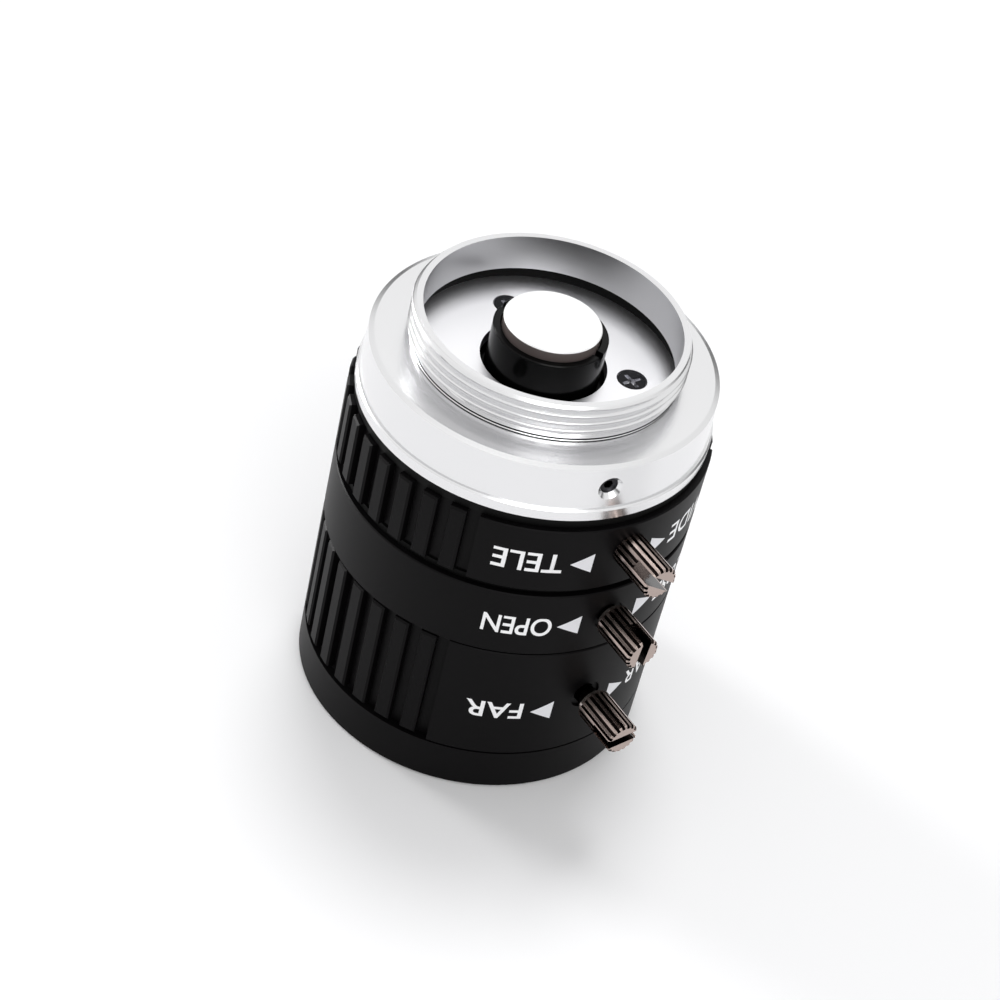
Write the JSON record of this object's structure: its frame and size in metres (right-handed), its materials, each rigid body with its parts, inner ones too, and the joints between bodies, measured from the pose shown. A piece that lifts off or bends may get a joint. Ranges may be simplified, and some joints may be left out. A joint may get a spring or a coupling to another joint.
{
  "type": "varifocal security camera lens",
  "caption": "Manual-iris varifocal lens with ribbed focus and zoom rings, knurled lock screws and a one-inch screw mount.",
  "frame": {"origin": "on the optical axis in the plane of the mount's flange seat", "axes": "+Z along the optical axis towards the camera; -Y towards the lock screws"},
  "size_m": [0.0338, 0.04, 0.0432],
  "materials": {
    "ring_black": "semi-gloss black anodised",
    "barrel_black": "matt black anodised",
    "mount_silver": "bright turned, clear finish",
    "lock_screw_metal": "dark nickel plate, knurled",
    "small_screw_steel": "plain steel",
    "plate_silver": "satin turned plate",
    "blade_black": "blackened spring steel",
    "pin_steel": "ground steel",
    "lens_glass": "polished and coated"
  },
  "bodies": {
    "barrel": {"main_barrel": "barrel_black", "mount_ring": "mount_silver", "mount_set_screw": "small_screw_steel", "rear_plate": "plate_silver", "rear_plate_screws": "small_screw_steel", "ring_spacer": "barrel_black", "focus_retaining_ring": "barrel_black", "focus_key_pin": "pin_steel", "iris_base_plate": "barrel_black", "iris_cover_ring": "barrel_black"},
    "focus_ring": {"focus_ring": "ring_black"},
    "front_group": {"front_cell": "barrel_black", "front_lens_1": "lens_glass", "front_lens_2": "lens_glass", "front_lens_3": "lens_glass", "front_spacer": "barrel_black", "front_retaining_ring": "barrel_black", "front_inner_ring": "barrel_black"},
    "iris_ring": {"iris_ring": "ring_black", "iris_drive_pin": "pin_steel", "iris_drive_ring": "barrel_black"},
    "zoom_ring": {"zoom_ring": "ring_black"},
    "rear_group": {"rear_cell": "barrel_black", "zoom_cam_pin": "pin_steel", "rear_lens_1": "lens_glass", "rear_lens_2": "lens_glass", "rear_lens_3": "lens_glass", "rear_lens_4": "lens_glass", "rear_inner_ring": "barrel_black", "rear_spacer_1": "barrel_black", "rear_spacer_2": "barrel_black", "rear_retaining_ring": "barrel_black"},
    "iris_blade_1": {"iris_blade_1": "blade_black"},
    "iris_blade_2": {"iris_blade_2": "blade_black"},
    "iris_blade_3": {"iris_blade_3": "blade_black"},
    "iris_blade_4": {"iris_blade_4": "blade_black"},
    "iris_blade_5": {"iris_blade_5": "blade_black"},
    "iris_blade_6": {"iris_blade_6": "blade_black"},
    "focus_lock_washer": {"focus_lock_washer": "lock_screw_metal"},
    "focus_lock_screw": {"focus_lock_screw": "lock_screw_metal"},
    "iris_lock_washer": {"iris_lock_washer": "lock_screw_metal"},
    "iris_lock_screw": {"iris_lock_screw": "lock_screw_metal"},
    "zoom_lock_washer": {"zoom_lock_washer": "lock_screw_metal"},
    "zoom_lock_screw": {"zoom_lock_screw": "lock_screw_metal"}
  },
  "joints": [
    {"name": "focus_turn", "type": "hinge", "parent": "barrel", "child": "focus_ring", "pos_m": [0, 0, -0.0281], "axis": [0, 0, 1], "range_deg": [-60, 60]},
    {"name": "front_group_travel", "type": "slide", "parent": "barrel", "child": "front_group", "axis": [0, 0, -1], "range_m": [-0.00061, 0.00061]},
    {"name": "iris_turn", "type": "hinge", "parent": "barrel", "child": "iris_ring", "pos_m": [0, 0, -0.0179], "axis": [0, 0, 1], "range_deg": [-25, 25]},
    {"name": "zoom_turn", "type": "hinge", "parent": "barrel", "child": "zoom_ring", "pos_m": [0, 0, -0.01005], "axis": [0, 0, 1], "range_deg": [-55, 5]},
    {"name": "rear_group_travel", "type": "slide", "parent": "barrel", "child": "rear_group", "axis": [0, 0, -1], "range_m": [-0.0003, 0.00321]},
    {"name": "iris_blade_1_turn", "type": "hinge", "parent": "barrel", "child": "iris_blade_1", "pos_m": [0.01043, 0.0019, -0.0172], "axis": [0, 0, 1], "range_deg": [-19.2, 19.2]},
    {"name": "iris_blade_2_turn", "type": "hinge", "parent": "barrel", "child": "iris_blade_2", "pos_m": [0.00357, 0.00998, -0.0172], "axis": [0, 0, 1], "range_deg": [-19.2, 19.2]},
    {"name": "iris_blade_3_turn", "type": "hinge", "parent": "barrel", "child": "iris_blade_3", "pos_m": [-0.00686, 0.00808, -0.0172], "axis": [0, 0, 1], "range_deg": [-19.2, 19.2]},
    {"name": "iris_blade_4_turn", "type": "hinge", "parent": "barrel", "child": "iris_blade_4", "pos_m": [-0.01043, -0.0019, -0.0172], "axis": [0, 0, 1], "range_deg": [-19.2, 19.2]},
    {"name": "iris_blade_5_turn", "type": "hinge", "parent": "barrel", "child": "iris_blade_5", "pos_m": [-0.00357, -0.00998, -0.0172], "axis": [0, 0, 1], "range_deg": [-19.2, 19.2]},
    {"name": "iris_blade_6_turn", "type": "hinge", "parent": "barrel", "child": "iris_blade_6", "pos_m": [0.00686, -0.00808, -0.0172], "axis": [0, 0, 1], "range_deg": [-19.2, 19.2]},
    {"name": "focus_lock_travel", "type": "slide", "parent": "focus_ring", "child": "focus_lock_washer", "axis": [0, -1, 0], "range_m": [-0.00133, 0.00025]},
    {"name": "focus_lock_turn", "type": "hinge", "parent": "focus_lock_washer", "child": "focus_lock_screw", "pos_m": [0, -0.019, -0.02795], "axis": [0, -1, 0], "range_deg": [-1198, 226]},
    {"name": "iris_lock_travel", "type": "slide", "parent": "iris_ring", "child": "iris_lock_washer", "axis": [0, -1, 0], "range_m": [-0.00053, 0.00075]},
    {"name": "iris_lock_turn", "type": "hinge", "parent": "iris_lock_washer", "child": "iris_lock_screw", "pos_m": [0, -0.019, -0.0177], "axis": [0, -1, 0], "range_deg": [-478, 676]},
    {"name": "zoom_lock_travel", "type": "slide", "parent": "zoom_ring", "child": "zoom_lock_washer", "axis": [0, -1, 0], "range_m": [0, 0.00125]},
    {"name": "zoom_lock_turn", "type": "hinge", "parent": "zoom_lock_washer", "child": "zoom_lock_screw", "pos_m": [0, -0.019, -0.0094], "axis": [0, -1, 0], "range_deg": [0, 1126]}
  ],
  "couplings": [
    {"joint": "front_group_travel", "follows": "focus_turn", "m_per_rad": 0.00057296},
    {"joint": "rear_group_travel", "follows": "zoom_turn", "m_per_rad": -0.0033343},
    {"joint": "iris_blade_1_turn", "follows": "iris_turn", "ratio": 0.76},
    {"joint": "iris_blade_2_turn", "follows": "iris_turn", "ratio": 0.76},
    {"joint": "iris_blade_3_turn", "follows": "iris_turn", "ratio": 0.76},
    {"joint": "iris_blade_4_turn", "follows": "iris_turn", "ratio": 0.76},
    {"joint": "iris_blade_5_turn", "follows": "iris_turn", "ratio": 0.76},
    {"joint": "iris_blade_6_turn", "follows": "iris_turn", "ratio": 0.76},
    {"joint": "focus_lock_turn", "follows": "focus_lock_travel", "rad_per_m": 15708},
    {"joint": "iris_lock_turn", "follows": "iris_lock_travel", "rad_per_m": 15708},
    {"joint": "zoom_lock_turn", "follows": "zoom_lock_travel", "rad_per_m": 15708}
  ]
}
